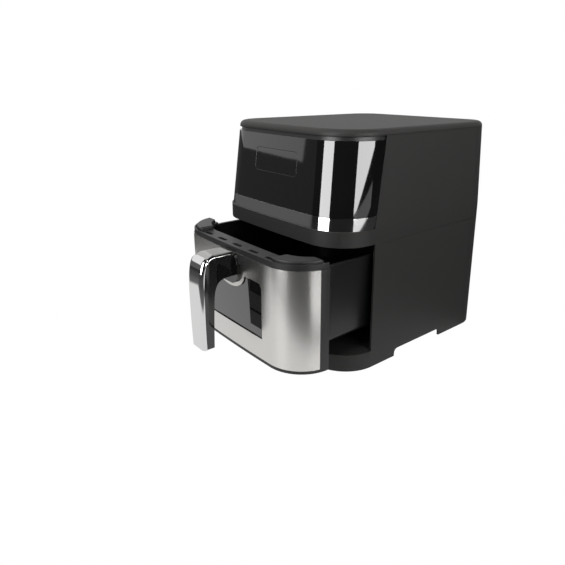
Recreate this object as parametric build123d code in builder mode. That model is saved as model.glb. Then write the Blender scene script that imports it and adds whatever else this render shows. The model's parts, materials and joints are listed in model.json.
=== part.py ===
"""Basket air fryer with its drawer drawn out, as separate pieces, in millimetres.

Frame: +Z is up, the front faces -Y and +X is the right-hand side seen from the front.
The origin is at the middle of the whole model's underside. Plan sketches are drawn on
`level` planes, whose own origin is the middle of the closed drawer's front, so a plan
point is (x, distance behind the closed drawer front). Drawer pieces use
`drawer_level` planes, which are moved forward by the length that the drawer is out.
"""
from build123d import *
import os
from math import cos, radians, sin, tan

os.makedirs("parts", exist_ok=True)

# ---------------------------------------------------------------- driving dimensions
half_width = 140.0            # body half width
body_rear = 318.0             # rear wall behind the closed drawer front
spacer_reach = 5.0            # wall spacers behind the rear wall
seam_z = 180.0                # joint line between lower and upper housing
top_z = 318.0                 # top edge of the upper housing
lid_height = 9.0              # height of the top cover
wall = 3.0                    # moulded wall thickness
ledge_z = 25.7                # top of the base ledge under the drawer
arch_height = 12.4            # gap under each side between the foot lobes
foot_gap = 1.2                # how far the rubber feet stand out below the base
notch_front = 56.8            # front edge of the lower housing's side walls
pull = 78.5                   # how far the drawer is drawn out at rest
front_bow = 1.5               # bow of the front faces over their width

collar_front = -10.0          # the collar overhangs the drawer front
collar_top = 201.0
band_top = 217.6
panel_top = 313.0
lean = tan(radians(6.5))      # backward lean of the front panel
side_lean = tan(radians(2.5))  # inward lean of the upper side walls
seam_lean = 0.175             # backward lean of the front panel's side seam
seam_at_band = 58.0           # side seam behind the drawer front at the band's top

drawer_bottom = 27.3
skin_bottom = 31.7
skin_top = 165.3
skin_rear = 42.6              # rear edge of the steel skin on the side
wing_rear = 56.0              # rear edge of the drawer front's sides
skin = 0.8
drawer_corner = 54.0
bezel_top = 172.5
flange_top = 170.0
pad_top = 176.5
window_half = 71.5
window_bottom = 60.8
window_top = 137.5
handle_reach = 55.2           # front of the grip ahead of the drawer face
grip_half = 18.0
grip_bottom = 38.5

pan_half = 130.0
pan_front = 22.0
pan_rear = 268.0
pan_bottom = 54.0
pan_rim = 165.0
pan_wall = 1.6

axis_s = 146.0                # fan axis behind the closed drawer front
shaft_radius = 4.0
bush_radius = 4.05            # running clearance of 0.05 on the shaft

front_y = (pull + handle_reach - body_rear - spacer_reach) / 2


# ---------------------------------------------------------------- planes and outlines
def level(height):
    """Horizontal plane over the middle of the closed drawer front."""
    return Plane((0, front_y, height))


def drawer_level(height):
    """Horizontal plane over the middle of the drawn-out drawer front."""
    return Plane((0, front_y - pull, height))


def side_plane(drawn_out=0.0):
    """Vertical plane through the middle: its x is the distance behind the front, its y is up."""
    return Plane((0, front_y - drawn_out, 0), x_dir=(0, 1, 0), z_dir=(1, 0, 0))


def front_plane(distance, drawn_out=0.0):
    """Vertical plane facing forward at a distance behind the front: x to the right, y up."""
    return Plane((0, front_y - drawn_out + distance, 0), x_dir=(1, 0, 0), z_dir=(0, -1, 0))


def plan_outline(half, front, rear, front_radius, rear_radius, bow=front_bow):
    """Closed plan outline with a bowed front, straight sides and rounded corners."""
    shoulder = front + bow
    front_x = half - front_radius
    rear_x = half - rear_radius
    with BuildSketch() as outline:
        with BuildLine():
            ThreePointArc((-front_x, shoulder), (0, front), (front_x, shoulder))
            CenterArc((front_x, shoulder + front_radius), front_radius, 270, 90)
            Line((half, shoulder + front_radius), (half, rear - rear_radius))
            CenterArc((rear_x, rear - rear_radius), rear_radius, 0, 90)
            Line((rear_x, rear), (-rear_x, rear))
            CenterArc((-rear_x, rear - rear_radius), rear_radius, 90, 90)
            Line((-half, rear - rear_radius), (-half, shoulder + front_radius))
            CenterArc((-front_x, shoulder + front_radius), front_radius, 180, 90)
        make_face()
    return outline.sketch


def wing_outline(inset, rear):
    """Closed outline of the drawer front: bowed front, big corners, square rear ends."""
    half = half_width - inset
    radius = drawer_corner - inset
    shoulder = inset + front_bow
    corner_x = half - radius
    full_rear = wing_rear + 50
    with BuildSketch() as outline:
        with BuildLine():
            ThreePointArc((-corner_x, shoulder), (0, inset), (corner_x, shoulder))
            CenterArc((corner_x, shoulder + radius), radius, 270, 90)
            Polyline(
                (half, shoulder + radius), (half, full_rear), (-half, full_rear), (-half, shoulder + radius)
            )
            CenterArc((-corner_x, shoulder + radius), radius, 180, 90)
        make_face()
        with Locations((0, (rear + full_rear + 1) / 2)):
            Rectangle(2 * half + 2, full_rear + 1 - rear, mode=Mode.SUBTRACT)
    return outline.sketch


def body_outline(inset=0.0):
    """Plan outline of the base and the lower housing."""
    return plan_outline(half_width - inset, inset, body_rear - inset, 57.0 - inset, 42.0 - inset)


def upper_outline(height, inset=0.0):
    """Plan outline of the leaning upper housing at a height."""
    rise = height - collar_top
    half = half_width - rise * side_lean - inset
    front = -8.0 + rise * lean + inset
    return plan_outline(half, front, body_rear - inset, 58.0 - inset, 42.0 - inset)


def pan_outline(inset=0.0):
    """Plan outline of the pan at its rim."""
    return plan_outline(pan_half - inset, pan_front + inset, pan_rear - inset, 50 - inset, 60 - inset, 0.5)


def save(piece, name):
    """Label a finished piece and write its file."""
    piece.part.label = name
    export_step(piece.part, f"parts/{name}.step")


# ---------------------------------------------------------------- lower housing
arch_front = 106.5
arch_rear = body_rear - arch_front
skirt_half = 68.0
skirt_rise = 3.6
gland_x = -84.0
gland_z = 46.0
gland_radius = 7.5

with BuildPart() as lower_housing:
    with BuildSketch(level(ledge_z)):
        add(body_outline())
        add(body_outline(wall), mode=Mode.SUBTRACT)
    extrude(amount=seam_z - ledge_z)
    with BuildSketch(side_plane()) as notch:
        with BuildLine():
            Polyline((-20, ledge_z), (notch_front, ledge_z), (notch_front, 200), (-20, 200), close=True)
        make_face()
        fillet(notch.vertices().group_by(Axis.Z)[0].sort_by(Axis.Y)[-1], 8)
    extrude(amount=150, both=True, mode=Mode.SUBTRACT)
    with BuildSketch(front_plane(body_rear + 5)):
        with Locations((gland_x, gland_z)):
            Circle(gland_radius + 0.1)
    extrude(amount=20, mode=Mode.SUBTRACT)
save(lower_housing, "lower_housing")

with BuildPart() as base_plinth:
    with BuildSketch(level(arch_height)):
        add(body_outline())
    extrude(amount=ledge_z - arch_height)
    with BuildSketch(level(arch_height)):
        add(body_outline(wall))
    extrude(amount=ledge_z - wall - arch_height, mode=Mode.SUBTRACT)
save(base_plinth, "base_plinth")

with BuildPart() as foot_skirts:
    with BuildSketch(level(foot_gap)):
        add(body_outline())
        add(body_outline(wall), mode=Mode.SUBTRACT)
    extrude(amount=arch_height - foot_gap)
    with BuildSketch(side_plane()) as arch:
        with BuildLine():
            Polyline(
                (arch_front, -5), (arch_rear, -5), (arch_rear, arch_height), (arch_front, arch_height), close=True
            )
        make_face()
        fillet(arch.vertices().group_by(Axis.Z)[-1], 7)
    extrude(amount=150, both=True, mode=Mode.SUBTRACT)
    with BuildSketch(front_plane(body_rear + 5)):
        with Locations((0, foot_gap + skirt_rise / 2)):
            Rectangle(2 * skirt_half, skirt_rise)
    extrude(amount=body_rear + 20, mode=Mode.SUBTRACT)
save(foot_skirts, "foot_skirts")

# ---------------------------------------------------------------- base cover, feet and screws
cover_z = 13.0
cover_thickness = 2.5
foot_places = [(x, s) for x in (-104, 104) for s in (46, body_rear - 46)]
foot_radius = 11.0
base_screw_places = [(x, s) for x in (-122, 122) for s in (75, body_rear - 75)]

with BuildPart() as base_cover:
    with BuildSketch(level(cover_z)):
        add(body_outline(wall + 0.3))
        with Locations([(x, s) for x in range(-60, 61, 12) for s in (105, 135, 165, 195)]):
            SlotOverall(20, 4, rotation=90, mode=Mode.SUBTRACT)
    extrude(amount=cover_thickness)
    with BuildSketch(level(4.0)):
        with Locations(*foot_places):
            Circle(foot_radius + 2)
    extrude(amount=cover_z - 4.0)
    with BuildSketch(level(cover_z - 1)):
        with Locations(*base_screw_places):
            Circle(2.1)
    extrude(amount=cover_thickness + 2, mode=Mode.SUBTRACT)
save(base_cover, "base_cover")

with BuildPart() as rubber_feet:
    with BuildSketch(level(0)):
        with Locations(*foot_places):
            Circle(foot_radius)
    extrude(amount=4.0)
    fillet(rubber_feet.edges().group_by(Axis.Z)[0], 1.0)
save(rubber_feet, "rubber_feet")

with BuildPart() as base_screws:
    with BuildSketch(level(cover_z - 2.4)):
        with Locations(*base_screw_places):
            Circle(4.0)
    extrude(amount=2.4)
    with BuildSketch(level(cover_z)):
        with Locations(*base_screw_places):
            Circle(2.0)
    extrude(amount=9.0)
save(base_screws, "base_screws")

# ---------------------------------------------------------------- bay liner and rails
liner_front = 60.0
liner_rear = 286.0
liner_half = 136.0
liner_sheet = 1.2
plunger_x = -62.0
plunger_z = 132.0


def liner_outline(inset, front):
    """Plan outline of the drawer bay's sheet liner, open at the front."""
    with BuildSketch() as outline:
        with BuildLine():
            Polyline(
                (-liner_half + inset, front),
                (liner_half - inset, front),
                (liner_half - inset, liner_rear - inset),
                (-liner_half + inset, liner_rear - inset),
                close=True,
            )
        make_face()
        fillet(outline.vertices().group_by(Axis.Y)[-1], 30 - inset)
    return outline.sketch


with BuildPart() as bay_liner:
    with BuildSketch(level(ledge_z + 0.3)):
        add(liner_outline(0, liner_front))
    extrude(amount=153.0)
    with BuildSketch(level(ledge_z + 0.3 + liner_sheet)):
        add(liner_outline(liner_sheet, liner_front - 5))
    extrude(amount=160.0, mode=Mode.SUBTRACT)
    with BuildSketch(front_plane(liner_rear + 5)):
        with Locations((plunger_x, plunger_z)):
            Circle(2.6)
    extrude(amount=10, mode=Mode.SUBTRACT)
save(bay_liner, "bay_liner")

rail_outer = liner_half - liner_sheet - 0.1
with BuildPart() as bay_rails:
    with BuildSketch(front_plane(liner_front + 4)):
        for side in (-1, 1):
            with Locations((side * (rail_outer - 1.6), 156.3)):
                Rectangle(3.2, 12.4)
    extrude(amount=-190)
    chamfer(bay_rails.edges().filter_by(Axis.Z).group_by(Axis.Y)[0], 1.2)
save(bay_rails, "bay_rails")

# ---------------------------------------------------------------- upper housing


def seam_side(offset, bottom, top, rear):
    """Side-view face behind the leaning seam, moved back by an offset."""
    lower = seam_at_band + (bottom - band_top) * seam_lean + offset
    upper = seam_at_band + (top - band_top) * seam_lean + offset
    with BuildSketch() as face:
        with BuildLine():
            Polyline((lower, bottom), (rear, bottom), (rear, top), (upper, top), close=True)
        make_face()
    return face.sketch


grille_x = 62.0
grille_z = 203.0
grille_width = 76.0
grille_height = 30.0

with BuildPart() as upper_housing:
    with BuildSketch(level(collar_top)):
        add(upper_outline(collar_top))
    with BuildSketch(level(top_z)):
        add(upper_outline(top_z))
    loft()
    with BuildSketch(side_plane()):
        add(seam_side(0, collar_top - 1, top_z + 1, body_rear + 1))
    extrude(amount=160, both=True, mode=Mode.INTERSECT)
    with BuildSketch(level(seam_z + 0.2)):
        add(plan_outline(half_width, collar_front, body_rear, 57, 42))
    extrude(amount=collar_top - seam_z - 0.2)
    with BuildSketch(level(collar_top - wall)):
        add(upper_outline(collar_top - wall, wall))
    with BuildSketch(level(top_z + 1)):
        add(upper_outline(top_z + 1, wall))
    loft(mode=Mode.SUBTRACT)
    with BuildSketch(level(seam_z)):
        add(plan_outline(half_width - wall, collar_front + wall, body_rear - wall, 54, 39))
    extrude(amount=collar_top - seam_z - 2 * wall + 0.5, mode=Mode.SUBTRACT)
    with BuildSketch(level(seam_z)):
        add(plan_outline(half_width - 8, collar_front + 8, body_rear - wall, 49, 39))
    extrude(amount=collar_top - seam_z + 1, mode=Mode.SUBTRACT)
    with BuildSketch(front_plane(body_rear + 5)):
        with Locations((grille_x, grille_z)):
            Rectangle(grille_width, grille_height)
    extrude(amount=20, mode=Mode.SUBTRACT)
save(upper_housing, "upper_housing")

with BuildPart() as top_cover:
    with BuildSketch(level(top_z)):
        add(upper_outline(top_z))
    extrude(amount=lid_height)
    fillet(top_cover.edges().group_by(Axis.Z)[-1], 7.5)
    with BuildSketch(level(top_z)):
        add(upper_outline(top_z, wall + 4))
    extrude(amount=lid_height - wall, mode=Mode.SUBTRACT)
save(top_cover, "top_cover")


def front_shell(bottom, top, inset, thickness, side_face):
    """Leaning front shell between two heights, kept only inside a side-view face."""
    with BuildPart() as shell:
        with BuildSketch(level(bottom)):
            add(upper_outline(bottom, inset))
        with BuildSketch(level(top)):
            add(upper_outline(top, inset))
        loft()
        with BuildSketch(level(bottom - 1)):
            add(upper_outline(bottom - 1, inset + thickness))
        with BuildSketch(level(top + 1)):
            add(upper_outline(top + 1, inset + thickness))
        loft(mode=Mode.SUBTRACT)
        with BuildSketch(side_plane()):
            add(side_face)
        extrude(amount=160, both=True, mode=Mode.INTERSECT)
    return shell.part


def front_side_face(gap, bottom, top, corner):
    """Side-view face in front of the leaning seam, with a rounded lower rear corner."""
    lower = seam_at_band + (bottom - band_top) * seam_lean - gap
    upper = seam_at_band + (top - band_top) * seam_lean - gap
    with BuildSketch() as face:
        with BuildLine():
            Polyline((-30, bottom), (lower, bottom), (upper, top), (-30, top), close=True)
        make_face()
        if corner > 0:
            fillet(face.vertices().group_by(Axis.Y)[0].sort_by(Axis.X)[-1], corner)
    return face.sketch


band_face = front_side_face(1.0, collar_top + 0.2, band_top, 8)
panel_face = front_side_face(1.2, band_top + 0.3, panel_top, 0)
carrier_face = front_side_face(0.2, collar_top + 0.2, top_z - 0.3, 0)

with BuildPart() as chrome_band:
    add(front_shell(collar_top + 0.2, band_top, 0, 2.0, band_face))
save(chrome_band, "chrome_band")

display_half = 46.0
display_bottom = 262.0
display_top = 294.0

with BuildPart() as front_panel:
    add(front_shell(band_top + 0.3, panel_top, 0, 3.0, panel_face))
    with BuildSketch(front_plane(60)):
        with Locations((0, (display_bottom + display_top) / 2)):
            RectangleRounded(2 * display_half, display_top - display_bottom, 5)
    extrude(amount=100, mode=Mode.SUBTRACT)
save(front_panel, "front_panel")

with BuildPart() as display_window:
    add(front_shell(band_top + 0.3, panel_top, 0.2, 2.4, panel_face))
    with BuildSketch(front_plane(60)):
        with Locations((0, (display_bottom + display_top) / 2)):
            RectangleRounded(2 * display_half - 0.4, display_top - display_bottom - 0.4, 4.8)
    extrude(amount=100, mode=Mode.INTERSECT)
save(display_window, "display_window")

with BuildPart() as panel_carrier:
    add(front_shell(collar_top + 0.2, top_z - 0.3, 3.2, 2.2, carrier_face))
    with BuildSketch(front_plane(60)):
        with Locations((0, (display_bottom + display_top) / 2)):
            Rectangle(2 * display_half - 12, display_top - display_bottom - 12)
    extrude(amount=100, mode=Mode.SUBTRACT)
save(panel_carrier, "panel_carrier")

# ---------------------------------------------------------------- control board
board_s = 17.0
with BuildPart() as control_board:
    with BuildSketch(front_plane(board_s)):
        with Locations((0, 272)):
            Rectangle(116, 62)
            with GridLocations(104, 50, 2, 2):
                Circle(1.7, mode=Mode.SUBTRACT)
    extrude(amount=1.6)
    with BuildSketch(front_plane(board_s)):
        with Locations((-30, 262), (24, 284)):
            Rectangle(16, 12)
    extrude(amount=-3.0)
save(control_board, "control_board")

# ---------------------------------------------------------------- rear pieces
with BuildPart() as rear_grille:
    with BuildSketch(front_plane(body_rear)):
        with Locations((grille_x, grille_z)):
            Rectangle(grille_width - 0.4, grille_height - 0.4)
    extrude(amount=2.8)
    with BuildSketch(front_plane(body_rear + 1)):
        with Locations((grille_x, grille_z)):
            with GridLocations(0, 5.6, 1, 5):
                SlotOverall(grille_width - 12, 3.0)
    extrude(amount=6, mode=Mode.SUBTRACT)
save(rear_grille, "rear_grille")

with BuildPart() as rear_spacers:
    with BuildSketch(front_plane(body_rear)):
        with Locations((-70, 262), (70, 262)):
            RectangleRounded(26, 14, 4)
    extrude(amount=-spacer_reach)
    fillet(rear_spacers.edges().group_by(Axis.Y)[-1], 2)
save(rear_spacers, "rear_spacers")

gland_bore = 3.8
with BuildPart() as cord_gland:
    with BuildSketch(front_plane(body_rear + 3)):
        with Locations((gland_x, gland_z)):
            Circle(gland_radius + 3)
    extrude(amount=3)
    with BuildSketch(front_plane(body_rear)):
        with Locations((gland_x, gland_z)):
            Circle(gland_radius)
    extrude(amount=9)
    with BuildSketch(front_plane(body_rear + 4)):
        with Locations((gland_x, gland_z)):
            Circle(gland_bore)
    extrude(amount=20, mode=Mode.SUBTRACT)
save(cord_gland, "cord_gland")

with BuildPart() as mains_terminal:
    with BuildSketch(front_plane(body_rear - wall - 0.2)):
        with Locations((gland_x, 84)):
            Rectangle(34, 18)
    extrude(amount=14)
    with BuildSketch(front_plane(body_rear - wall - 12)):
        with Locations((gland_x, 84)):
            with GridLocations(10, 0, 3, 1):
                Circle(2.4)
    extrude(amount=6, mode=Mode.SUBTRACT)
save(mains_terminal, "mains_terminal")

# ---------------------------------------------------------------- heater chamber
dome_half = 124.0
dome_front = 24.0
dome_rear = 274.0
dome_bottom = seam_z + 0.4
dome_top = 222.0
sheet = 1.0
duct_x = grille_x
element_z = 190.0
element_radius = 3.2
outer_turn = 83.0
inner_turn = 66.0
terminal_angles = (25, -25)
terminal_places = [
    (turn * cos(radians(angle)), axis_s + turn * sin(radians(angle)))
    for turn, angle in zip((outer_turn, inner_turn), terminal_angles)
]
duct_half = 30.0


def dome_outline(inset):
    """Plan outline of the heater chamber."""
    return plan_outline(dome_half - inset, dome_front + inset, dome_rear - inset, 56 - inset, 56 - inset, 0.5)


with BuildPart() as heater_housing:
    with BuildSketch(level(dome_bottom)):
        add(dome_outline(0))
    extrude(amount=dome_top - dome_bottom)
    with BuildSketch(level(dome_bottom)):
        add(dome_outline(-7))
    extrude(amount=sheet)
    with BuildSketch(level(dome_bottom)):
        add(dome_outline(sheet))
    extrude(amount=dome_top - dome_bottom - sheet, mode=Mode.SUBTRACT)
    with BuildSketch(level(dome_top - 3)):
        with Locations((0, axis_s)):
            Circle(7.0)
        with Locations((-98, axis_s)):
            Circle(2.8)
        with Locations(*terminal_places):
            Circle(4.2)
    extrude(amount=6, mode=Mode.SUBTRACT)
    with BuildSketch(front_plane(dome_rear + 5)):
        with Locations((duct_x, grille_z)):
            Rectangle(2 * duct_half - 4, 20)
    extrude(amount=12, mode=Mode.SUBTRACT)
save(heater_housing, "heater_housing")

link_way = (cos(radians(130)), sin(radians(130)))
link_start = (inner_turn * link_way[0], front_y + axis_s + inner_turn * link_way[1], element_z)
link_plane = Plane(link_start, x_dir=(0, 0, 1), z_dir=(link_way[0], link_way[1], 0))

with BuildPart() as heating_element:
    for turn in (outer_turn, inner_turn):
        with BuildSketch(Plane((0, front_y + axis_s, 0), x_dir=(1, 0, 0), z_dir=(0, -1, 0))):
            with Locations((turn, element_z)):
                Circle(element_radius)
        revolve(axis=Axis((0, front_y + axis_s, 0), (0, 0, 1)))
    with BuildSketch(link_plane):
        Circle(element_radius - 0.4)
    extrude(amount=outer_turn - inner_turn)
    with BuildSketch(level(element_z)):
        with Locations(*terminal_places):
            Circle(element_radius - 0.4)
    extrude(amount=38)
save(heating_element, "heating_element")

with BuildPart() as element_clips:
    with BuildSketch(level(element_z + element_radius + 0.2)):
        with Locations((0, axis_s)):
            with PolarLocations(74.5, 3, start_angle=90):
                Rectangle(24, 5)
    extrude(amount=dome_top - sheet - element_z - element_radius - 0.3)
save(element_clips, "element_clips")

guard_z = 182.2
guard_thickness = 1.6
guard_post_radius = 3.4
guard_post_circle = 95
with BuildPart() as element_guard:
    with BuildSketch(level(guard_z)):
        with Locations((0, axis_s)):
            for ring in (96, 78, 60, 42, 24):
                Circle(ring)
                Circle(ring - 3, mode=Mode.SUBTRACT)
    extrude(amount=guard_thickness)
    with BuildSketch(level(guard_z)):
        with Locations((0, axis_s)):
            with PolarLocations(58, 6):
                Rectangle(76, 4)
            with PolarLocations(guard_post_circle, 4, start_angle=45):
                Circle(guard_post_radius)
    extrude(amount=guard_thickness)
save(element_guard, "element_guard")

post_foot = guard_z + guard_thickness
with BuildPart() as guard_posts:
    with BuildSketch(level(post_foot)):
        with Locations((0, axis_s)):
            with PolarLocations(guard_post_circle, 4, start_angle=45):
                Circle(guard_post_radius)
    extrude(amount=dome_top - sheet - post_foot - 0.1)
save(guard_posts, "guard_posts")

with BuildPart() as temperature_sensor:
    with BuildSketch(level(198)):
        with Locations((-98, axis_s)):
            Circle(2.5)
    extrude(amount=dome_top + 2 - 198)
    with BuildSketch(level(dome_top + 0.1)):
        with Locations((-98, axis_s)):
            Circle(6)
    extrude(amount=2.4)
save(temperature_sensor, "temperature_sensor")

with BuildPart() as thermal_fuse:
    with BuildSketch(level(dome_top + 0.1)):
        with Locations((-70, 80)):
            Rectangle(26, 9)
    extrude(amount=2.6)
save(thermal_fuse, "thermal_fuse")

with BuildPart() as air_duct:
    with BuildSketch(front_plane(body_rear - wall - 0.2)):
        with Locations((duct_x, grille_z)):
            Rectangle(2 * duct_half, 24)
            Rectangle(2 * duct_half - 2.4, 21.6, mode=Mode.SUBTRACT)
    extrude(amount=body_rear - wall - 0.2 - dome_rear - 0.2)
save(air_duct, "air_duct")

# ---------------------------------------------------------------- motor and fans
shield_z = 227.0
shield_sheet = 1.2
bracket_z = 250.0
bracket_sheet = 2.0
stack_bottom = 258.0
stack_height = 20.0
stud_places = [(x, axis_s + s) for x in (-26, 26) for s in (-24, 44)]

with BuildPart() as heat_shield:
    with BuildSketch(level(shield_z)):
        add(dome_outline(6))
        with Locations((0, axis_s)):
            Circle(8, mode=Mode.SUBTRACT)
        with Locations(*terminal_places):
            Circle(6, mode=Mode.SUBTRACT)
    extrude(amount=shield_sheet)
    with BuildSketch(level(dome_top + 0.1)):
        with Locations((-95, 75), (95, 75), (-95, 225), (95, 225)):
            Circle(4)
    extrude(amount=shield_z - dome_top - 0.1)
save(heat_shield, "heat_shield")

with BuildPart() as motor_bracket_lower:
    with BuildSketch(level(bracket_z)):
        with Locations((0, axis_s + 10)):
            Rectangle(132, 78)
    extrude(amount=bracket_sheet)
    with BuildSketch(level(shield_z + shield_sheet + 0.1)):
        with Locations((-65, axis_s + 10), (65, axis_s + 10)):
            Rectangle(2, 60)
    extrude(amount=bracket_z - shield_z - shield_sheet - 0.1)
    with BuildSketch(level(bracket_z)):
        with Locations((0, axis_s)):
            Circle(9)
    extrude(amount=7.0)
    with BuildSketch(level(bracket_z - 5)):
        with Locations((0, axis_s)):
            Circle(bush_radius)
        with Locations(*stud_places):
            Circle(2.2)
    extrude(amount=20, mode=Mode.SUBTRACT)
save(motor_bracket_lower, "motor_bracket_lower")

with BuildPart() as motor_laminations:
    with BuildSketch(level(stack_bottom)):
        with Locations((0, axis_s + 10)):
            Rectangle(64, 80)
        with Locations((0, axis_s)):
            Circle(16.2, mode=Mode.SUBTRACT)
        with Locations((0, axis_s + 29)):
            Rectangle(40, 14, mode=Mode.SUBTRACT)
        with Locations(*stud_places):
            Circle(2.2, mode=Mode.SUBTRACT)
    extrude(amount=stack_height)
save(motor_laminations, "motor_laminations")

with BuildPart() as motor_coil:
    with BuildSketch(Plane((-17, front_y + axis_s, 0), x_dir=(0, 1, 0), z_dir=(1, 0, 0))):
        with Locations((43, stack_bottom + stack_height / 2)):
            RectangleRounded(28, 30, 4)
            Rectangle(14.3, stack_height + 0.3, mode=Mode.SUBTRACT)
    extrude(amount=34)
save(motor_coil, "motor_coil")

upper_bracket_z = stack_bottom + stack_height + 8
with BuildPart() as motor_bracket_upper:
    with BuildSketch(level(upper_bracket_z)):
        with Locations((0, axis_s)):
            Rectangle(62, 58)
    extrude(amount=bracket_sheet)
    with BuildSketch(level(upper_bracket_z)):
        with Locations((0, axis_s)):
            Circle(9)
    extrude(amount=8.0)
    with BuildSketch(level(stack_bottom + stack_height + 0.1)):
        with Locations(*stud_places[::2]):
            Circle(4.5)
    extrude(amount=upper_bracket_z - stack_bottom - stack_height - 0.1)
    with BuildSketch(level(stack_bottom + stack_height - 5)):
        with Locations((0, axis_s)):
            Circle(bush_radius)
        with Locations(*stud_places[::2]):
            Circle(2.2)
    extrude(amount=30, mode=Mode.SUBTRACT)
save(motor_bracket_upper, "motor_bracket_upper")

with BuildPart() as motor_studs:
    with BuildSketch(level(bracket_z - 3)):
        with Locations(*stud_places):
            Circle(2.0)
    extrude(amount=upper_bracket_z + 6 - bracket_z)
    with BuildSketch(level(bracket_z - 3)):
        with Locations(*stud_places):
            RegularPolygon(3.6, 6)
    extrude(amount=2.9)
save(motor_studs, "motor_studs")

fan_z = 199.0
cooling_z = 232.0
with BuildPart() as motor_shaft:
    with BuildSketch(level(192)):
        with Locations((0, axis_s)):
            Circle(shaft_radius)
    extrude(amount=upper_bracket_z + 12 - 192)
save(motor_shaft, "motor_shaft")

with BuildPart() as rotor_core:
    with BuildSketch(level(stack_bottom + 0.5)):
        with Locations((0, axis_s)):
            Circle(15.7)
            Circle(shaft_radius + 0.02, mode=Mode.SUBTRACT)
    extrude(amount=stack_height - 1)
save(rotor_core, "rotor_core")


def fan(bottom, radius, blade_height, blade_count, blade_length):
    """Bladed disc with a hub, bored for the motor shaft."""
    with BuildPart() as wheel:
        with BuildSketch(level(bottom)):
            with Locations((0, axis_s)):
                Circle(radius)
        extrude(amount=1.2)
        with BuildSketch(level(bottom)):
            with Locations((0, axis_s)):
                Circle(11)
        extrude(amount=blade_height)
        with BuildSketch(level(bottom)):
            with Locations((0, axis_s)):
                with PolarLocations(radius - blade_length / 2, blade_count):
                    Rectangle(blade_length, 1.4, rotation=24)
        extrude(amount=blade_height)
        with BuildSketch(level(bottom - 1)):
            with Locations((0, axis_s)):
                Circle(shaft_radius + 0.02)
        extrude(amount=blade_height + 4, mode=Mode.SUBTRACT)
    return wheel.part


with BuildPart() as convection_fan:
    add(fan(fan_z, 56, 13, 10, 34))
save(convection_fan, "convection_fan")

with BuildPart() as cooling_fan:
    add(fan(cooling_z, 50, 11, 12, 28))
save(cooling_fan, "cooling_fan")

with BuildPart() as fan_nut:
    with BuildSketch(level(fan_z - 6)):
        with Locations((0, axis_s)):
            RegularPolygon(7.5, 6)
            Circle(shaft_radius + 0.02, mode=Mode.SUBTRACT)
    extrude(amount=5.9)
save(fan_nut, "fan_nut")

# ---------------------------------------------------------------- power board
board_x = -118.0
with BuildPart() as power_board:
    with BuildSketch(Plane((board_x, front_y, 0), x_dir=(0, 1, 0), z_dir=(1, 0, 0))):
        with Locations((186, 268)):
            Rectangle(116, 70)
            with GridLocations(104, 58, 2, 2):
                Circle(1.7, mode=Mode.SUBTRACT)
    extrude(amount=1.6)
save(power_board, "power_board")

with BuildPart() as board_parts:
    with BuildSketch(Plane((board_x + 1.7, front_y, 0), x_dir=(0, 1, 0), z_dir=(1, 0, 0))):
        with Locations((156, 268)):
            Rectangle(22, 28)
        with Locations((222, 252)):
            Circle(9)
        with Locations((196, 288)):
            Rectangle(30, 12)
    extrude(amount=17)
save(board_parts, "board_parts")

# ---------------------------------------------------------------- drawer switch
switch_front = 289.0
plunger_radius = 2.0
plunger_tip = 271.9
with BuildPart() as drawer_switch:
    with BuildSketch(front_plane(switch_front)):
        with Locations((plunger_x, plunger_z)):
            Rectangle(28, 16)
            Circle(plunger_radius + 0.06, mode=Mode.SUBTRACT)
    extrude(amount=-18)
save(drawer_switch, "drawer_switch")

with BuildPart() as switch_plunger:
    with BuildSketch(front_plane(plunger_tip)):
        with Locations((plunger_x, plunger_z)):
            Circle(plunger_radius)
    extrude(amount=-30)
    fillet(switch_plunger.edges().group_by(Axis.Y)[0], 1.0)
save(switch_plunger, "switch_plunger")

# ---------------------------------------------------------------- drawer front
shell_top = 165.6
front_wall = 3.0
pane_half = 76.0
pane_bottom = 56.5
pane_top = 142.0
pane_front = 2.2
pane_thickness = 2.6
handle_screw_places = [(-9, 153), (9, 153)]


def window_face(grow):
    """Front-view opening of the drawer window, with the tongue left at its top edge."""
    middle_z = (window_bottom + window_top) / 2
    with BuildSketch() as face:
        with Locations((0, middle_z)):
            Rectangle(2 * (window_half + grow), window_top - window_bottom + 2 * grow)
        fillet(face.vertices().group_by(Axis.Y)[-1], 8)
        with Locations((0, window_top)):
            Ellipse(34.0 - grow, 21.6 - grow, mode=Mode.SUBTRACT)
    return face.sketch


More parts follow.
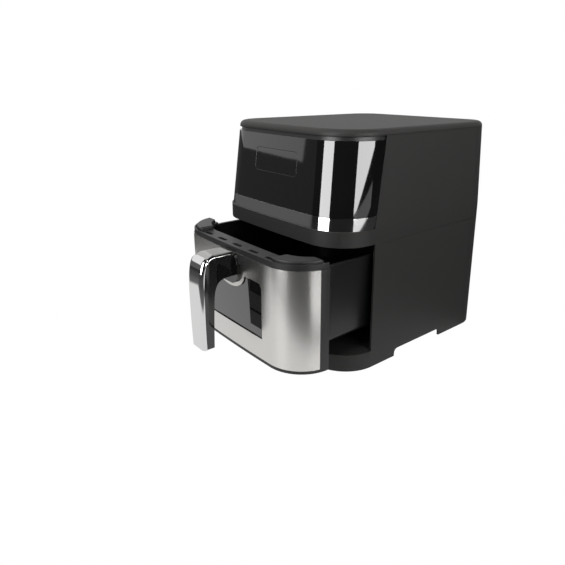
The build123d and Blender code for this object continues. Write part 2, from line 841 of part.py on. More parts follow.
with BuildPart() as drawer_front:
    with BuildSketch(drawer_level(drawer_bottom)):
        add(wing_outline(0, wing_rear))
    extrude(amount=skin_bottom - 0.1 - drawer_bottom)
    with BuildSketch(drawer_level(skin_bottom - 0.1)):
        add(wing_outline(skin + 0.1, wing_rear))
    extrude(amount=shell_top - skin_bottom + 0.1)
    with BuildSketch(drawer_level(skin_bottom - 0.1)):
        add(wing_outline(0, wing_rear))
        with Locations((0, (skin_rear + 0.1) / 2 - 20)):
            Rectangle(300, skin_rear + 0.1 + 40, mode=Mode.SUBTRACT)
    extrude(amount=shell_top - skin_bottom + 0.1)
    with BuildSketch(drawer_level(drawer_bottom + front_wall)):
        add(wing_outline(front_wall + skin, wing_rear + 20))
    extrude(amount=shell_top - drawer_bottom, mode=Mode.SUBTRACT)
    with BuildSketch(drawer_level(drawer_bottom)) as underside:
        with Locations((0, 48)):
            Rectangle(2 * (half_width - 14), 60)
        fillet(underside.vertices().group_by(Axis.Y)[0], 30)
    extrude(amount=front_wall, mode=Mode.SUBTRACT)
    with BuildSketch(front_plane(3.0, pull)):
        with Locations((0, (pane_bottom + pane_top) / 2)):
            RectangleRounded(2 * pane_half + 12, pane_top - pane_bottom + 12, 6)
    extrude(amount=-5.0)
    with BuildSketch(front_plane(pane_front + pane_thickness + 0.6, pull)):
        with Locations((0, (pane_bottom + pane_top) / 2)):
            RectangleRounded(2 * pane_half + 0.4, pane_top - pane_bottom + 0.4, 3.2)
    extrude(amount=20, mode=Mode.SUBTRACT)
    with BuildSketch(front_plane(20, pull)):
        with Locations((0, (pane_bottom + pane_top) / 2)):
            RectangleRounded(2 * pane_half - 14, pane_top - pane_bottom - 14, 5)
    extrude(amount=40, mode=Mode.SUBTRACT)
    with BuildSketch(front_plane(20, pull)):
        with Locations(*handle_screw_places):
            Circle(2.6)
    extrude(amount=40, mode=Mode.SUBTRACT)
save(drawer_front, "drawer_front")

with BuildPart() as steel_skin:
    with BuildSketch(drawer_level(skin_bottom)):
        add(wing_outline(0, skin_rear))
        add(wing_outline(skin, wing_rear), mode=Mode.SUBTRACT)
    extrude(amount=skin_top - skin_bottom)
    with BuildSketch(front_plane(10, pull)):
        add(window_face(0))
    extrude(amount=20, mode=Mode.SUBTRACT)
    with BuildSketch(front_plane(10, pull)):
        with Locations(*handle_screw_places):
            Circle(3.0)
    extrude(amount=20, mode=Mode.SUBTRACT)
save(steel_skin, "steel_skin")

with BuildPart() as window_glass:
    with BuildSketch(front_plane(pane_front + pane_thickness, pull)):
        with Locations((0, (pane_bottom + pane_top) / 2)):
            RectangleRounded(2 * pane_half, pane_top - pane_bottom, 3)
    extrude(amount=pane_thickness)
save(window_glass, "window_glass")

with BuildPart() as window_gasket:
    with BuildSketch(front_plane(pane_front + pane_thickness + 0.55, pull)):
        with Locations((0, (pane_bottom + pane_top) / 2)):
            RectangleRounded(2 * pane_half - 0.4, pane_top - pane_bottom - 0.4, 3)
            RectangleRounded(2 * pane_half - 12, pane_top - pane_bottom - 12, 5, mode=Mode.SUBTRACT)
    extrude(amount=0.5)
save(window_gasket, "window_gasket")

with BuildPart() as drawer_inner_panel:
    with BuildSketch(drawer_level(drawer_bottom + front_wall + 0.4)):
        add(wing_outline(10.5, 52))
        add(wing_outline(12.5, 60), mode=Mode.SUBTRACT)
    extrude(amount=132.4)
    with BuildSketch(drawer_level(drawer_bottom + front_wall + 0.4)):
        for side in (-1, 1):
            with Locations((side * 132.4, 51)):
                Rectangle(6.4, 2)
    extrude(amount=132.4)
    with BuildSketch(front_plane(40, pull)):
        with Locations((0, (pane_bottom + pane_top) / 2)):
            RectangleRounded(2 * pane_half - 14, pane_top - pane_bottom - 14, 5)
        with Locations(*handle_screw_places):
            Circle(6.0)
    extrude(amount=60, mode=Mode.SUBTRACT)
save(drawer_inner_panel, "drawer_inner_panel")

# ---------------------------------------------------------------- bezel and corner pads
opening_front = 29.0
opening_corner = 44.0


def opening_outline(inset):
    """Plan outline of the bezel's inner edge, over the pan."""
    half = 124.0 - inset
    return plan_outline(half, opening_front + inset, 200, opening_corner - inset, 20, 0.6)


slot_pitch = 38.0
slot_s = 13.5
with BuildPart() as drawer_bezel:
    with BuildSketch(drawer_level(pan_rim + 0.8)):
        add(wing_outline(1.2, wing_rear - 0.3))
        add(opening_outline(0), mode=Mode.SUBTRACT)
    extrude(amount=flange_top - pan_rim - 0.8)
    with BuildSketch(drawer_level(pan_rim + 0.8)):
        add(wing_outline(1.2, wing_rear - 0.3))
        add(wing_outline(3.2, wing_rear + 20), mode=Mode.SUBTRACT)
    extrude(amount=bezel_top - pan_rim - 0.8)
    with BuildSketch(drawer_level(flange_top - 3)):
        with Locations((0, slot_s)):
            with GridLocations(slot_pitch, 0, 5, 1):
                SlotOverall(20, 6)
    extrude(amount=5, mode=Mode.SUBTRACT)
save(drawer_bezel, "drawer_bezel")

with BuildPart() as corner_pads:
    with BuildSketch(drawer_level(flange_top + 0.05)):
        add(wing_outline(5.0, 49.5))
        add(opening_outline(-1.5), mode=Mode.SUBTRACT)
        with Locations((0, 10)):
            Rectangle(2 * 88, 80, mode=Mode.SUBTRACT)
    extrude(amount=pad_top - flange_top - 0.05)
    chamfer(corner_pads.edges().group_by(Axis.Z)[-1], 1.2)
save(corner_pads, "corner_pads")

# ---------------------------------------------------------------- pan, pan window and screws
pan_draft = tan(radians(2.0))
pan_window_half = 58.0
pan_window_bottom = 70.0
pan_window_top = 132.0


def pan_solid(inset, floor):
    """Tapered solid of the pan's outline down to a floor height, with a rounded bottom edge."""
    shrink = (pan_rim - floor) * pan_draft
    with BuildPart() as tapered:
        with BuildSketch(drawer_level(floor)):
            add(pan_outline(inset + shrink))
        with BuildSketch(drawer_level(pan_rim)):
            add(pan_outline(inset))
        loft()
        fillet(tapered.edges().group_by(Axis.Z)[0], 9 - inset)
    return tapered.part


with BuildPart() as pan:
    add(pan_solid(0, pan_bottom))
    with BuildSketch(drawer_level(pan_rim - 1.4)):
        add(pan_outline(-3.0))
    extrude(amount=1.4)
    add(pan_solid(pan_wall, pan_bottom + pan_wall), mode=Mode.SUBTRACT)
    with BuildSketch(front_plane(pan_front + 20, pull)):
        with Locations((0, (pan_window_bottom + pan_window_top) / 2)):
            RectangleRounded(2 * pan_window_half, pan_window_top - pan_window_bottom, 8)
    extrude(amount=40, mode=Mode.SUBTRACT)
save(pan, "pan")

pan_glass_s = pan_front - 3.4
with BuildPart() as pan_window:
    with BuildSketch(front_plane(pan_glass_s + 2.4, pull)):
        with Locations((0, (pan_window_bottom + pan_window_top) / 2)):
            RectangleRounded(2 * pan_window_half + 14, pan_window_top - pan_window_bottom + 14, 8)
    extrude(amount=2.4)
save(pan_window, "pan_window")

with BuildPart() as window_seal:
    with BuildSketch(front_plane(pan_front + 10, pull)):
        with Locations((0, (pan_window_bottom + pan_window_top) / 2)):
            RectangleRounded(2 * pan_window_half + 12, pan_window_top - pan_window_bottom + 12, 8)
            RectangleRounded(2 * pan_window_half + 2, pan_window_top - pan_window_bottom + 2, 8, mode=Mode.SUBTRACT)
    extrude(amount=pan_front + 10 - pan_glass_s - 2.5)
    add(pan_solid(-0.1, pan_bottom), mode=Mode.SUBTRACT)
save(window_seal, "window_seal")

bracket_places = [(x, z) for x in (-80, 80) for z in (62, 150)]
with BuildPart() as pan_brackets:
    with BuildSketch(front_plane(pan_front + 10, pull)):
        with Locations(*bracket_places):
            Rectangle(14, 16)
    extrude(amount=pan_front + 10 - 14.2)
    add(pan_solid(-0.1, pan_bottom), mode=Mode.SUBTRACT)
save(pan_brackets, "pan_brackets")

# ---------------------------------------------------------------- handle
arm_half = 17.0
arm_under = 134.0
arm_top = 164.0
cover_top = 168.0
root_face = -4.0
grip_back = -37.0


with BuildPart() as handle_body:
    with BuildSketch(side_plane(pull)):
        with BuildLine():
            Line((root_face, arm_top), (-33.5, arm_top))
            ThreePointArc((-33.5, arm_top), (-44.6, 158.0), (-49.3, 145.0))
            ThreePointArc((-49.3, 145.0), (-51.6, 96.0), (-50.4, grip_bottom + 1))
            Line((-50.4, grip_bottom + 1), (grip_back - 0.6, grip_bottom + 1))
            ThreePointArc((grip_back - 0.6, grip_bottom + 1), (grip_back, 80.0), (-34.0, 118.0))
            ThreePointArc((-34.0, 118.0), (-31.0, 128.8), (-22.0, arm_under))
            Line((-22.0, arm_under), (root_face, arm_under + 1))
            Line((root_face, arm_under + 1), (root_face, arm_top))
        make_face()
    extrude(amount=arm_half, both=True)
    with BuildSketch(front_plane(root_face, pull)):
        with Locations(*handle_screw_places):
            Circle(2.1)
    extrude(amount=12, mode=Mode.SUBTRACT)
save(handle_body, "handle_body")

with BuildPart() as handle_face:
    with BuildSketch(side_plane(pull)):
        with BuildLine():
            ThreePointArc((-33.6, cover_top), (-46.9, 161.0), (-52.9, 146.0))
            ThreePointArc((-52.9, 146.0), (-handle_reach, 96.0), (-54.0, grip_bottom))
            Line((-54.0, grip_bottom), (-50.5, grip_bottom))
            ThreePointArc((-50.5, grip_bottom), (-51.7, 96.0), (-49.4, 145.2))
            ThreePointArc((-49.4, 145.2), (-44.7, 158.2), (-33.6, arm_top + 0.1))
            Line((-33.6, arm_top + 0.1), (-33.6, cover_top))
        make_face()
    extrude(amount=grip_half, both=True)
save(handle_face, "handle_face")

with BuildPart() as handle_arm_cover:
    with BuildSketch(side_plane(pull)):
        with Locations(((root_face - 33.4) / 2, (arm_top + cover_top) / 2 + 0.05)):
            Rectangle(-33.4 - root_face, cover_top - arm_top - 0.1)
    extrude(amount=grip_half, both=True)
    chamfer(handle_arm_cover.edges().filter_by(Axis.Y).group_by(Axis.Z)[-1], 1.5)
save(handle_arm_cover, "handle_arm_cover")

with BuildPart() as handle_root_pad:
    with BuildSketch(front_plane(-0.1, pull)) as pad:
        with Locations((0, 143.6)):
            Rectangle(51, 42.4)
        fillet(pad.vertices().group_by(Axis.Z)[0], 17)
    extrude(amount=-root_face - 0.2)
    with BuildSketch(front_plane(5, pull)):
        with Locations(*handle_screw_places):
            Circle(2.6)
    extrude(amount=20, mode=Mode.SUBTRACT)
save(handle_root_pad, "handle_root_pad")

with BuildPart() as handle_screws:
    with BuildSketch(front_plane(front_wall + 2.0, pull)):
        with Locations(*handle_screw_places):
            Circle(2.0)
    extrude(amount=front_wall + 2.0 - root_face + 10)
    with BuildSketch(front_plane(front_wall + 4.4, pull)):
        with Locations(*handle_screw_places):
            Circle(4.2)
    extrude(amount=3.4)
save(handle_screws, "handle_screws")

# ---------------------------------------------------------------- crisper tray
tray_half = 117.0
tray_front = 36.0
tray_rear = 254.0
tray_z = 66.0
bumper_places = [(x, s) for x in (-90, 90) for s in (62, 228)]
with BuildPart() as crisper_tray:
    with BuildSketch(drawer_level(tray_z)):
        add(plan_outline(tray_half, tray_front, tray_rear, 38, 48, 0.5))
        with Locations((0, (tray_front + tray_rear) / 2)):
            with GridLocations(26, 30, 7, 6):
                SlotOverall(20, 7, mode=Mode.SUBTRACT)
    extrude(amount=1.6)
    with BuildSketch(drawer_level(tray_z)):
        add(plan_outline(tray_half, tray_front, tray_rear, 38, 48, 0.5))
        add(plan_outline(tray_half - 1.6, tray_front + 1.6, tray_rear - 1.6, 36.4, 46.4, 0.5), mode=Mode.SUBTRACT)
    extrude(amount=8)
save(crisper_tray, "crisper_tray")

with BuildPart() as tray_bumpers:
    with BuildSketch(drawer_level(pan_bottom + pan_wall + 0.4)):
        with Locations(*bumper_places):
            Circle(7)
    extrude(amount=tray_z - pan_bottom - pan_wall - 0.45)
save(tray_bumpers, "tray_bumpers")
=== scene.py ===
"""Visual model of a basket air fryer with its drawer drawn out.

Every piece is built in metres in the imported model's own frame: +Z is up, the front
faces -Y and +X is the right-hand side seen from the front.
"""

import json
import logging
import math
from dataclasses import dataclass, field
from enum import Enum
from typing import Callable, ClassVar, Iterable

import bmesh
import bpy
from mathutils import Matrix, Vector
from mathutils.geometry import interpolate_bezier

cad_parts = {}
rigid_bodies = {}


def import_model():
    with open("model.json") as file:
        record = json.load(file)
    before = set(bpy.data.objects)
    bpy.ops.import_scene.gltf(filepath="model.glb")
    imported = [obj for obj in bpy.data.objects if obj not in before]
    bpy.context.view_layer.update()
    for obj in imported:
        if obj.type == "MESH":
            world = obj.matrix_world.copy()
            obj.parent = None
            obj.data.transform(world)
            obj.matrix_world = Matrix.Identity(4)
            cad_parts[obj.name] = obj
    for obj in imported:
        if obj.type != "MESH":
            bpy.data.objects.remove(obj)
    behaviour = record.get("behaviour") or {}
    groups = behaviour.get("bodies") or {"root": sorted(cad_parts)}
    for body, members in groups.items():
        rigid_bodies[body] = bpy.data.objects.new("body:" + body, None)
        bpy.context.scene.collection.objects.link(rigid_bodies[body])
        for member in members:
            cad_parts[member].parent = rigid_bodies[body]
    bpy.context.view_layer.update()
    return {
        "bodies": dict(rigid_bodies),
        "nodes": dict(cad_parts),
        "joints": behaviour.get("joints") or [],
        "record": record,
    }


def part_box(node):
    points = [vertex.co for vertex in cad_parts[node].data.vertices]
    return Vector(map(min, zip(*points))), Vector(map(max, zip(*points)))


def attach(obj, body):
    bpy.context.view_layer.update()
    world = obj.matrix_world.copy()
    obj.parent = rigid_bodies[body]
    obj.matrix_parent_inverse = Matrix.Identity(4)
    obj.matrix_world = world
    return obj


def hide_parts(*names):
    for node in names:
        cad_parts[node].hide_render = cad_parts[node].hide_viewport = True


LOG = logging.getLogger("air_fryer")
MM = 0.001
Colour = tuple[float, float, float]
Direction = tuple[float, float, float]
Pair = tuple[float, float]


# ------------------------------------------------------------------ datum
@dataclass(frozen=True)
class Datum:
    """Where the front of the drawn-out drawer stands.

    Args:
        drawer_front: y of the drawer's front, in metres.
    """

    drawer_front: float

    @classmethod
    def from_frame(cls) -> "Datum":
        """Read the drawer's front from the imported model's box of its skin."""
        return cls(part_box("steel_skin")[0].y)

    def drawer(self, x: float, behind: float, z: float) -> Vector:
        """Point of the drawer from millimetres: across, behind the drawer's front, up."""
        return Vector((x * MM, self.drawer_front + behind * MM, z * MM))


# ------------------------------------------------------------------ finishes
class Pattern(Enum):
    """The surface patterns that the finishes are made of."""

    GRAIN = "moulded_grain"
    BRUSH = "brush_lines"
    POLISH = "polished_skin"
    SPRAY = "sprayed_coat"
    ROLL = "rolled_sheet"
    WIND = "wound_wire"


@dataclass(frozen=True)
class Finish:
    """One material of the record, with the pattern that gives it its surface.

    Args:
        slot: the record's material slot.
        colour: base colour, linear.
        tint: second colour that the pattern's tone mixes in.
        roughness: lowest roughness.
        spread: how much the pattern adds to the roughness.
        pattern: which pattern group is used.
        scale: pattern cells per metre.
        relief: strength of the bump.
        metallic: 1 for metals.
        coat: weight of a clear coat.
        ior: index of refraction.
        anisotropy: how much wider reflections spread up and down than across.
        specular: strength of the surface's own shine.
    """

    slot: str
    colour: Colour
    tint: Colour
    roughness: float
    spread: float
    pattern: Pattern
    scale: float
    relief: float
    metallic: float = 0.0
    coat: float = 0.0
    ior: float = 1.5
    anisotropy: float = 0.0
    specular: float = 0.5


FINISHES: tuple[Finish, ...] = (
    Finish("matte_black", (0.030, 0.0288, 0.0278), (0.026, 0.0245, 0.0235), 0.50, 0.10,
           Pattern.GRAIN, 2600, 0.22, specular=0.3),
    Finish("satin_black", (0.026, 0.026, 0.026), (0.020, 0.020, 0.020), 0.36, 0.10,
           Pattern.GRAIN, 3200, 0.12),
    Finish("gloss_black", (0.008, 0.008, 0.0084), (0.011, 0.011, 0.011), 0.03, 0.03,
           Pattern.POLISH, 60, 0.0, specular=1.0),
    Finish("chrome", (0.86, 0.86, 0.85), (0.82, 0.82, 0.82), 0.045, 0.03,
           Pattern.POLISH, 90, 0.01, metallic=1.0),
    Finish("smoked_chrome", (0.52, 0.51, 0.50), (0.46, 0.455, 0.45), 0.10, 0.05,
           Pattern.POLISH, 90, 0.01, metallic=1.0),
    Finish("steel", (0.80, 0.785, 0.76), (0.70, 0.69, 0.67), 0.20, 0.08,
           Pattern.BRUSH, 3400, 0.08, metallic=1.0, anisotropy=0.6),
    Finish("window_glass", (0.004, 0.004, 0.004), (0.005, 0.005, 0.005), 0.02, 0.01,
           Pattern.POLISH, 40, 0.0, coat=1.0, ior=1.62),
    Finish("clear_glass", (0.02, 0.02, 0.02), (0.022, 0.022, 0.022), 0.03, 0.01,
           Pattern.POLISH, 40, 0.0, coat=1.0),
    Finish("nonstick", (0.006, 0.006, 0.0065), (0.010, 0.010, 0.011), 0.26, 0.12,
           Pattern.SPRAY, 1700, 0.16),
    Finish("rubber", (0.018, 0.018, 0.018), (0.026, 0.026, 0.026), 0.66, 0.12,
           Pattern.GRAIN, 1500, 0.25),
    Finish("silicone", (0.026, 0.026, 0.026), (0.034, 0.034, 0.034), 0.5, 0.1,
           Pattern.GRAIN, 1200, 0.15),
    Finish("zinc_sheet", (0.55, 0.56, 0.57), (0.40, 0.41, 0.42), 0.3, 0.2,
           Pattern.ROLL, 130, 0.06, metallic=1.0),
    Finish("black_sheet", (0.014, 0.014, 0.014), (0.022, 0.022, 0.022), 0.42, 0.16,
           Pattern.SPRAY, 900, 0.12),
    Finish("bright_steel", (0.62, 0.62, 0.61), (0.50, 0.50, 0.49), 0.22, 0.14,
           Pattern.BRUSH, 2500, 0.08, metallic=1.0),
    Finish("cast_aluminium", (0.60, 0.60, 0.61), (0.48, 0.48, 0.49), 0.36, 0.2,
           Pattern.SPRAY, 1100, 0.3, metallic=1.0),
    Finish("copper", (0.60, 0.24, 0.10), (0.34, 0.11, 0.04), 0.24, 0.2,
           Pattern.WIND, 1300, 0.7, metallic=1.0),
    Finish("lamination", (0.24, 0.24, 0.25), (0.12, 0.12, 0.12), 0.4, 0.2,
           Pattern.WIND, 1000, 0.5, metallic=1.0),
    Finish("circuit_board", (0.016, 0.12, 0.05), (0.03, 0.20, 0.09), 0.28, 0.12,
           Pattern.ROLL, 300, 0.05),
    Finish("board_part", (0.055, 0.055, 0.065), (0.08, 0.08, 0.09), 0.42, 0.14,
           Pattern.GRAIN, 1600, 0.2),
)


class PatternGroups:
    """Shader node groups, one for each pattern, built once and shared.

    Each takes Vector and Scale and gives Tone and Rough masks and a Height.
    """

    STRETCH = {Pattern.BRUSH: (0.012, 0.012, 1.0), Pattern.ROLL: (0.25, 1.0, 1.0)}
    EVEN = (1.0, 1.0, 1.0)
    CLOUDS_PER_METRE = 14.0

    def __init__(self) -> None:
        """Start with no groups."""
        self.built: dict[Pattern, bpy.types.NodeTree] = {}

    def get(self, pattern: Pattern) -> bpy.types.NodeTree:
        """Give the group for a pattern, building it the first time.

        Args:
            pattern: the pattern that is needed.
        Returns:
            The shader node group.
        """
        if pattern not in self.built:
            self.built[pattern] = self.build(pattern)
        return self.built[pattern]

    def build(self, pattern: Pattern) -> bpy.types.NodeTree:
        """Build one pattern group.

        Args:
            pattern: the pattern to build.
        Returns:
            The new shader node group.
        """
        tree = bpy.data.node_groups.new(pattern.value, "ShaderNodeTree")
        for name, kind in (("Vector", "NodeSocketVector"), ("Scale", "NodeSocketFloat")):
            tree.interface.new_socket(name, in_out="INPUT", socket_type=kind)
        for name in ("Tone", "Rough", "Height"):
            tree.interface.new_socket(name, in_out="OUTPUT", socket_type="NodeSocketFloat")
        inlet = tree.nodes.new("NodeGroupInput")
        outlet = tree.nodes.new("NodeGroupOutput")
        mapping = tree.nodes.new("ShaderNodeMapping")
        mapping.inputs["Scale"].default_value = self.STRETCH.get(pattern, self.EVEN)
        tree.links.new(inlet.outputs["Vector"], mapping.inputs["Vector"])
        if pattern is Pattern.WIND:
            fine = tree.nodes.new("ShaderNodeTexWave")
            fine.bands_direction = "Z"
            fine.inputs["Distortion"].default_value = 0.4
            fine_out = fine.outputs["Fac"]
        elif pattern is Pattern.SPRAY:
            fine = tree.nodes.new("ShaderNodeTexVoronoi")
            fine.feature = "SMOOTH_F1"
            fine_out = fine.outputs["Distance"]
        else:
            fine = tree.nodes.new("ShaderNodeTexNoise")
            fine.inputs["Detail"].default_value = 3.0
            fine.inputs["Roughness"].default_value = 0.6
            fine_out = fine.outputs["Fac"]
        tree.links.new(mapping.outputs["Vector"], fine.inputs["Vector"])
        tree.links.new(inlet.outputs["Scale"], fine.inputs["Scale"])
        broad = tree.nodes.new("ShaderNodeTexNoise")
        broad.inputs["Scale"].default_value = self.CLOUDS_PER_METRE
        broad.inputs["Detail"].default_value = 4.0
        tree.links.new(inlet.outputs["Vector"], broad.inputs["Vector"])
        blend = tree.nodes.new("ShaderNodeMix")
        blend.inputs["Factor"].default_value = 0.5
        tree.links.new(fine_out, blend.inputs["A"])
        tree.links.new(broad.outputs["Fac"], blend.inputs["B"])
        tree.links.new(blend.outputs["Result"], outlet.inputs["Tone"])
        rough_from = broad.outputs["Fac"] if pattern is Pattern.POLISH else fine_out
        tree.links.new(rough_from, outlet.inputs["Rough"])
        tree.links.new(fine_out, outlet.inputs["Height"])
        return tree


class Paint:
    """Makes and hands out one material for each slot."""

    BUMP_DEPTH = 0.12 * MM
    COAT_ROUGHNESS = 0.02

    def __init__(self, finishes: Iterable[Finish]) -> None:
        """Build every material.

        Args:
            finishes: the finishes to make.
        """
        self.groups = PatternGroups()
        self.materials = {finish.slot: self.build(finish) for finish in finishes}

    def build(self, finish: Finish) -> bpy.types.Material:
        """Build one material.

        Args:
            finish: its values.
        Returns:
            The material.
        """
        material = bpy.data.materials.new(finish.slot)
        material.use_nodes = True
        tree = material.node_tree
        shader = tree.nodes["Principled BSDF"]
        place = tree.nodes.new("ShaderNodeTexCoord")
        pattern = tree.nodes.new("ShaderNodeGroup")
        pattern.node_tree = self.groups.get(finish.pattern)
        pattern.inputs["Scale"].default_value = finish.scale
        tree.links.new(place.outputs["Object"], pattern.inputs["Vector"])
        colour = tree.nodes.new("ShaderNodeMix")
        colour.data_type = "RGBA"
        colour.inputs["A"].default_value = (*finish.colour, 1.0)
        colour.inputs["B"].default_value = (*finish.tint, 1.0)
        tree.links.new(pattern.outputs["Tone"], colour.inputs["Factor"])
        tree.links.new(colour.outputs["Result"], shader.inputs["Base Color"])
        rough = tree.nodes.new("ShaderNodeMapRange")
        rough.inputs["To Min"].default_value = finish.roughness
        rough.inputs["To Max"].default_value = finish.roughness + finish.spread
        tree.links.new(pattern.outputs["Rough"], rough.inputs["Value"])
        tree.links.new(rough.outputs["Result"], shader.inputs["Roughness"])
        if finish.relief > 0.0:
            bump = tree.nodes.new("ShaderNodeBump")
            bump.inputs["Strength"].default_value = finish.relief
            bump.inputs["Distance"].default_value = self.BUMP_DEPTH
            tree.links.new(pattern.outputs["Height"], bump.inputs["Height"])
            tree.links.new(bump.outputs["Normal"], shader.inputs["Normal"])
        shader.inputs["Metallic"].default_value = finish.metallic
        shader.inputs["Coat Weight"].default_value = finish.coat
        shader.inputs["Coat Roughness"].default_value = self.COAT_ROUGHNESS
        shader.inputs["IOR"].default_value = finish.ior
        shader.inputs["Specular IOR Level"].default_value = finish.specular
        if finish.anisotropy > 0.0:
            upright = tree.nodes.new("ShaderNodeCombineXYZ")
            upright.inputs["Z"].default_value = 1.0
            tree.links.new(upright.outputs["Vector"], shader.inputs["Tangent"])
            shader.inputs["Anisotropic"].default_value = finish.anisotropy
        return material

    def dress(self, piece: bpy.types.Object, slot: str) -> None:
        """Give a piece one slot's material.

        Args:
            piece: the object to dress.
            slot: the record's slot name.
        """
        piece.data.materials.clear()
        piece.data.materials.append(self.materials[slot])


# ------------------------------------------------------------------ mesh helpers
SHARP = 30.0    # edges that bend more than this are rounded, in degrees
FLAT = 0.5      # triangles that bend less than this are joined, in degrees
WELD = 0.001 * MM


def finish_piece(bm: bmesh.types.BMesh, name: str, smooth_angle: float = 40.0) -> bpy.types.Object:
    """Turn a bmesh into a shaded object at the origin.

    Args:
        bm: the mesh, which is freed.
        name: the piece's name.
        smooth_angle: edges sharper than this stay sharp, in degrees.
    Returns:
        The linked object.
    """
    mesh = bpy.data.meshes.new(name)
    bm.to_mesh(mesh)
    bm.free()
    mesh.polygons.foreach_set("use_smooth", [True] * len(mesh.polygons))
    mesh.set_sharp_from_angle(angle=math.radians(smooth_angle))
    piece = bpy.data.objects.new(name, mesh)
    bpy.context.scene.collection.objects.link(piece)
    weights = piece.modifiers.new("even_shading", "WEIGHTED_NORMAL")
    weights.keep_sharp = True
    weights.mode = "FACE_AREA"
    return piece


def sharp_edges(bm: bmesh.types.BMesh, angle: float = SHARP) -> list[bmesh.types.BMEdge]:
    """List the edges that bend by more than an angle.

    Args:
        bm: the mesh.
        angle: limit in degrees.
    Returns:
        The sharp edges.
    """
    limit = math.radians(angle)
    return [e for e in bm.edges if e.is_manifold and e.calc_face_angle(0.0) > limit]


def round_edges(
    bm: bmesh.types.BMesh, edges: list[bmesh.types.BMEdge], width: float, segments: int = 2
) -> None:
    """Round a set of edges.

    Args:
        bm: the mesh.
        edges: the edges to round.
        width: radius in metres.
        segments: facets across the round.
    """
    bmesh.ops.bevel(
        bm, geom=edges, offset=width, offset_type="OFFSET", segments=segments, profile=0.5,
        affect="EDGES", clamp_overlap=True, material=-1,
    )


def smooth_path(knots: tuple[Pair, ...], steps: int) -> list[Vector]:
    """Draw a smooth line through points of a flat drawing.

    Args:
        knots: the points, as pairs.
        steps: points for each span.
    Returns:
        Points along the line, in two dimensions.
    """
    points = [Vector(knot) for knot in knots]
    tangents = []
    for index, point in enumerate(points):
        before = points[max(index - 1, 0)]
        after = points[min(index + 1, len(points) - 1)]
        tangents.append((after - before).normalized())
    line: list[Vector] = []
    for index in range(len(points) - 1):
        start, end = points[index], points[index + 1]
        reach = (end - start).length / 3.0
        span = interpolate_bezier(
            start, start + tangents[index] * reach, end - tangents[index + 1] * reach, end, steps + 1
        )
        line.extend(span[:-1])
    return [*line, points[-1].copy()]


def shaped_grid(columns: int, rows: int, place: Callable[[float, int], Vector]) -> bmesh.types.BMesh:
    """Make a grid and move each of its vertices into place.

    Args:
        columns: faces across.
        rows: faces along.
        place: gives the position for a fraction across and a row number.
    Returns:
        A new bmesh.
    """
    bm = bmesh.new()
    bmesh.ops.create_grid(bm, x_segments=columns, y_segments=rows, size=1.0)
    for vert in bm.verts:
        vert.co = place((vert.co.x + 1.0) / 2.0, round((vert.co.y + 1.0) / 2.0 * rows))
    return bm


def join_triangles(bm: bmesh.types.BMesh, weld: float = WELD) -> None:
    """Weld loose triangles and join those that lie flat into clean faces.

    Args:
        bm: the mesh.
        weld: vertices nearer than this become one, in metres.
    """
    bmesh.ops.remove_doubles(bm, verts=bm.verts, dist=weld)
    bmesh.ops.dissolve_limit(bm, angle_limit=math.radians(FLAT), verts=bm.verts, edges=bm.edges)


def merged_copy(node: str, largest: int = 0) -> bmesh.types.BMesh:
    """Copy a CAD node's mesh with its loose triangles joined into clean faces.

    Args:
        node: the CAD node.
        largest: faces with more sides than this are split up again; 0 leaves them.
    Returns:
        A new bmesh.
    """
    bm = bmesh.new()
    bm.from_mesh(bpy.data.objects[node].data)
    join_triangles(bm)
    if largest:
        crowded = [f for f in bm.faces if len(f.verts) > largest]
        bmesh.ops.triangulate(bm, faces=crowded, ngon_method="BEAUTY")
    return bm


@dataclass(frozen=True)
class Soft:
    """How a CAD node's copy is softened.

    Args:
        node: the CAD node that is replaced.
        width: edge radius in millimetres.
        largest: faces with more sides than this are split up; 0 leaves them.
    """

    node: str
    width: float
    largest: int = 0


class Fitter:
    """Attaches pieces to bodies and gives them their slot and finish."""

    def __init__(self, frame: dict, paint: Paint) -> None:
        """Keep the frame's tables.

        Args:
            paint: the materials.
        """
        self.paint = paint
        self.slots = {part["node"]: part["material_slot"] for part in frame["record"]["subparts"]}
        self.bodies = {
            node: body for body, nodes in frame["record"]["behaviour"]["bodies"].items() for node in nodes
        }
        self.nodes = frame["nodes"]

    def fit(self, piece: bpy.types.Object, body: str, slot: str, *stands_for: str) -> bpy.types.Object:
        """Dress a new piece and attach it.

        Args:
            piece: the new object.
            body: the body it rides on.
            slot: the record's slot.
            stands_for: CAD nodes that it replaces.
        Returns:
            The piece.
        """
        self.paint.dress(piece, slot)
        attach(piece, body)
        if stands_for:
            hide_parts(*stands_for)
        LOG.info("%s rides on %s in %s", piece.name, body, slot)
        return piece

    def soften(self, soft: Soft) -> bpy.types.Object:
        """Replace a CAD node by a copy with rounded edges.

        Args:
            soft: the node and its edge radius.
        Returns:
            The new piece.
        """
        bm = merged_copy(soft.node, soft.largest)
        round_edges(bm, sharp_edges(bm), soft.width * MM)
        piece = finish_piece(bm, soft.node + "_body")
        return self.fit(piece, self.bodies[soft.node], self.slots[soft.node], soft.node)

    def carry(self, node: str) -> None:
        """Keep a CAD node as it is, with the finish of its slot."""
        self.paint.dress(self.nodes[node], self.slots[node])


# ------------------------------------------------------------------ studio
def light_only_tree(material: bpy.types.Material) -> bpy.types.NodeTree:
    """Give a material's node tree with its surface shader taken out.

    Args:
        material: the new material.
    Returns:
        Its tree, with only the output left.
    """
    material.use_nodes = True
    material.node_tree.nodes.remove(material.node_tree.nodes["Principled BSDF"])
    return material.node_tree


